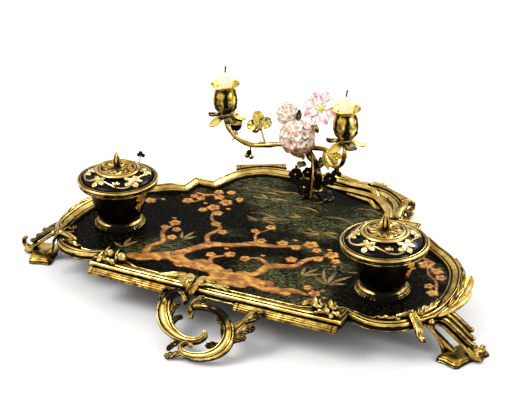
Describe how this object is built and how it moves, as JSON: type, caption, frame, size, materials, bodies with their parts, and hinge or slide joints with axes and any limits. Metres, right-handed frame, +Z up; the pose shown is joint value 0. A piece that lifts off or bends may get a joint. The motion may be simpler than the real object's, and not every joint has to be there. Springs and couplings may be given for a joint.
{
  "type": "desk inkstand",
  "caption": "Desk inkstand: lacquered tray in a gilt bronze scroll-footed rim, with lidded ink pots and a branched candle holder with porcelain flowers.",
  "frame": {"origin": "on the ground, under the middle of the whole part's outline", "axes": "+X to the right along the tray, +Y to the back, where the candle holder stands, +Z up"},
  "size_m": [0.4598, 0.354, 0.1649],
  "materials": {
    "gilt_bronze": "bright gilt bronze, burnished ridges over matted ground",
    "lacquer": "glossy black lacquer with raised gold and red-brown decoration",
    "porcelain": "glossy white and pink glaze",
    "candle_wax": "translucent ivory wax",
    "liner_glass": "clear dark glass",
    "wick_cotton": "charred cotton"
  },
  "bodies": {
    "tray": {"tray_panel": "lacquer", "rim_front": "gilt_bronze", "rim_arch": "gilt_bronze", "rim_lobe_left": "gilt_bronze", "rim_step_left": "gilt_bronze", "rim_lobe_right": "gilt_bronze", "rim_step_right": "gilt_bronze", "reed_bar_front_left": "gilt_bronze", "reed_bar_front_right": "gilt_bronze", "reed_block_back_left": "gilt_bronze", "reed_block_back_right": "gilt_bronze", "clasp_center": "gilt_bronze", "clasp_corner_left": "gilt_bronze", "clasp_foot_left": "gilt_bronze", "clasp_end_left": "gilt_bronze", "clasp_corner_right": "gilt_bronze", "clasp_foot_right": "gilt_bronze", "clasp_end_right": "gilt_bronze", "foot_left": "gilt_bronze", "foot_back_left": "gilt_bronze", "foot_right": "gilt_bronze", "foot_back_right": "gilt_bronze", "foot_front_scroll": "gilt_bronze", "stem_mound": "gilt_bronze", "stem_nut": "gilt_bronze", "stem_trunk": "gilt_bronze", "flower_ball_large": "porcelain", "flower_ball_small": "porcelain", "flower_lily": "porcelain", "arm_left": "gilt_bronze", "arm_right": "gilt_bronze", "calyx_left": "gilt_bronze", "calyx_right": "gilt_bronze", "cup_left": "gilt_bronze", "cup_right": "gilt_bronze"},
    "pot_left": {"pot_foot_left": "gilt_bronze", "pot_body_left": "lacquer", "pot_lip_left": "gilt_bronze"},
    "liner_left": {"pot_liner_left": "liner_glass"},
    "lid_left": {"lid_shell_left": "lacquer", "lid_finial_left": "gilt_bronze", "lid_garland_left": "gilt_bronze"},
    "pan_left": {"drip_pan_left": "gilt_bronze"},
    "taper_left": {"candle_left": "candle_wax", "wick_left": "wick_cotton"},
    "pot_right": {"pot_foot_right": "gilt_bronze", "pot_body_right": "lacquer", "pot_lip_right": "gilt_bronze"},
    "liner_right": {"pot_liner_right": "liner_glass"},
    "lid_right": {"lid_shell_right": "lacquer", "lid_finial_right": "gilt_bronze", "lid_garland_right": "gilt_bronze"},
    "pan_right": {"drip_pan_right": "gilt_bronze"},
    "taper_right": {"candle_right": "candle_wax", "wick_right": "wick_cotton"}
  },
  "joints": [
    {"name": "pot_left_lift", "type": "slide", "parent": "tray", "child": "pot_left", "axis": [0, 0, 1], "range_m": [0, 0.06]},
    {"name": "liner_left_lift", "type": "slide", "parent": "pot_left", "child": "liner_left", "axis": [0, 0, 1], "range_m": [0, 0.05]},
    {"name": "lid_left_lift", "type": "slide", "parent": "liner_left", "child": "lid_left", "axis": [0, 0, 1], "range_m": [0, 0.04]},
    {"name": "pan_left_lift", "type": "slide", "parent": "tray", "child": "pan_left", "axis": [0, 0, 1], "range_m": [0, 0.03]},
    {"name": "taper_left_lift", "type": "slide", "parent": "pan_left", "child": "taper_left", "axis": [0, 0, 1], "range_m": [0, 0.04]},
    {"name": "pot_right_lift", "type": "slide", "parent": "tray", "child": "pot_right", "axis": [0, 0, 1], "range_m": [0, 0.06]},
    {"name": "liner_right_lift", "type": "slide", "parent": "pot_right", "child": "liner_right", "axis": [0, 0, 1], "range_m": [0, 0.05]},
    {"name": "lid_right_lift", "type": "slide", "parent": "liner_right", "child": "lid_right", "axis": [0, 0, 1], "range_m": [0, 0.04]},
    {"name": "pan_right_lift", "type": "slide", "parent": "tray", "child": "pan_right", "axis": [0, 0, 1], "range_m": [0, 0.03]},
    {"name": "taper_right_lift", "type": "slide", "parent": "pan_right", "child": "taper_right", "axis": [0, 0, 1], "range_m": [0, 0.04]}
  ]
}
